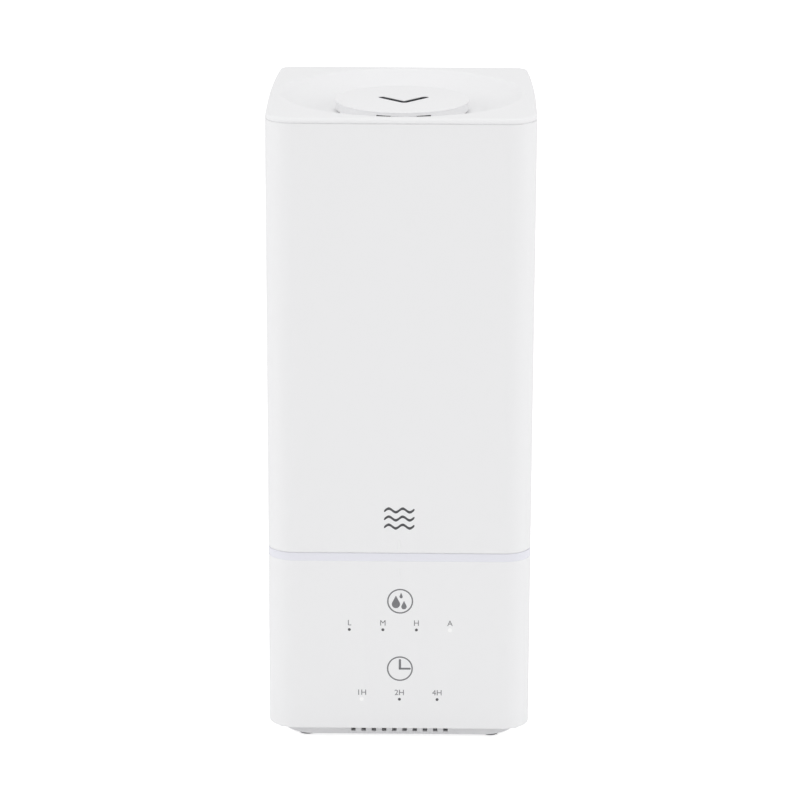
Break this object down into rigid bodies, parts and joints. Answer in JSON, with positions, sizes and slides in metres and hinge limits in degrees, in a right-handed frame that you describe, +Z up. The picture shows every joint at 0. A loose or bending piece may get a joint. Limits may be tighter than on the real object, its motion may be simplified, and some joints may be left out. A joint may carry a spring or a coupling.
{
  "type": "cool mist humidifier",
  "caption": "Tall square-plan ultrasonic humidifier: base with basin and touch panel, lift-off tank with mist tube, dished lid with turning mist outlet.",
  "frame": {"origin": "centre of the footprint, on the plane that the rubber feet stand on", "axes": "+Z up, -Y out of the front panel, +X to the right seen from the front"},
  "size_m": [0.165, 0.165, 0.3982],
  "materials": {
    "body_white": "satin moulded, very fine grain",
    "cover_white": "moulded, fine grain",
    "ring_tint": "translucent, faintly violet",
    "outlet_dark": "dark moulded",
    "inner_white": "smooth moulded",
    "float_plastic": "smooth moulded, pale blue",
    "silicone": "translucent silicone",
    "foot_rubber": "matte rubber",
    "disc_silver": "plated disc",
    "steel": "zinc plated",
    "board_green": "solder mask",
    "black_plastic": "moulded",
    "duct_plastic": "moulded grey",
    "sink_alloy": "extruded",
    "coil_copper": "enamelled winding",
    "magnet_grey": "ferrite",
    "led_resin": "clear resin",
    "lens_lit": "lit light guide",
    "lens_dark": "unlit light guide",
    "cable_jacket": "soft jacket"
  },
  "bodies": {
    "base": {"air_duct": "duct_plastic", "air_riser": "inner_white", "base_housing": "body_white", "basin": "inner_white", "basin_posts": "inner_white", "basin_screws": "steel", "bottom_cover": "cover_white", "cable_sockets": "inner_white", "capacitors": "sink_alloy", "control_board": "board_green", "cover_screws": "steel", "dark_lenses": "lens_dark", "fan_cable": "cable_jacket", "fan_frame": "black_plastic", "fan_screws": "steel", "float_cap": "inner_white", "heat_sink": "sink_alloy", "humidity_sensor": "board_green", "indicator_leds": "led_resin", "level_sensor": "board_green", "lit_lenses": "lens_lit", "main_board": "board_green", "main_screws": "steel", "panel_cable": "cable_jacket", "panel_screws": "steel", "power_cable": "cable_jacket", "power_coil": "coil_copper", "power_inlet": "black_plastic", "power_transistor": "black_plastic", "rubber_feet": "foot_rubber", "touch_springs": "steel", "transducer_cable": "cable_jacket", "transducer_clamp": "steel", "transducer_disc": "disc_silver", "transducer_screws": "steel", "transducer_seal": "silicone", "trim_ring": "ring_tint"},
    "tank": {"tank_shell": "body_white", "tank_floor": "inner_white", "mist_tube": "inner_white", "tube_seal": "silicone", "tube_nut": "inner_white", "valve_guide": "inner_white"},
    "valve": {"valve_plunger": "inner_white", "valve_seal": "silicone", "valve_clip": "steel", "valve_spring": "steel"},
    "lid": {"lid": "body_white", "tube_gasket": "silicone"},
    "nozzle": {"nozzle_cap": "body_white", "outlet_liner": "outlet_dark", "nozzle_base": "outlet_dark", "nozzle_seal": "silicone"},
    "float": {"water_float": "float_plastic", "float_magnet": "magnet_grey"},
    "fan_rotor": {"fan_rotor": "black_plastic"}
  },
  "joints": [
    {"name": "tank_lift", "type": "slide", "parent": "base", "child": "tank", "axis": [0, 0, 1], "range_m": [0, 0.08]},
    {"name": "valve_stroke", "type": "slide", "parent": "tank", "child": "valve", "axis": [0, 0, 1], "range_m": [-0.005, 0], "deforming": ["valve_spring"]},
    {"name": "lid_lift", "type": "slide", "parent": "tank", "child": "lid", "axis": [0, 0, 1], "range_m": [0, 0.06]},
    {"name": "nozzle_turn", "type": "hinge", "parent": "lid", "child": "nozzle", "pos_m": [0, 0, 0.39], "axis": [0, 0, 1], "continuous": true},
    {"name": "float_rise", "type": "slide", "parent": "base", "child": "float", "axis": [0, 0, 1], "range_m": [0, 0.009]},
    {"name": "fan_spin", "type": "hinge", "parent": "base", "child": "fan_rotor", "pos_m": [0, 0.042, 0.0285], "axis": [0, 0, 1], "continuous": true}
  ],
  "couplings": [
    {"joint": "valve_stroke", "follows": "tank_lift", "ratio": -0.0625}
  ]
}
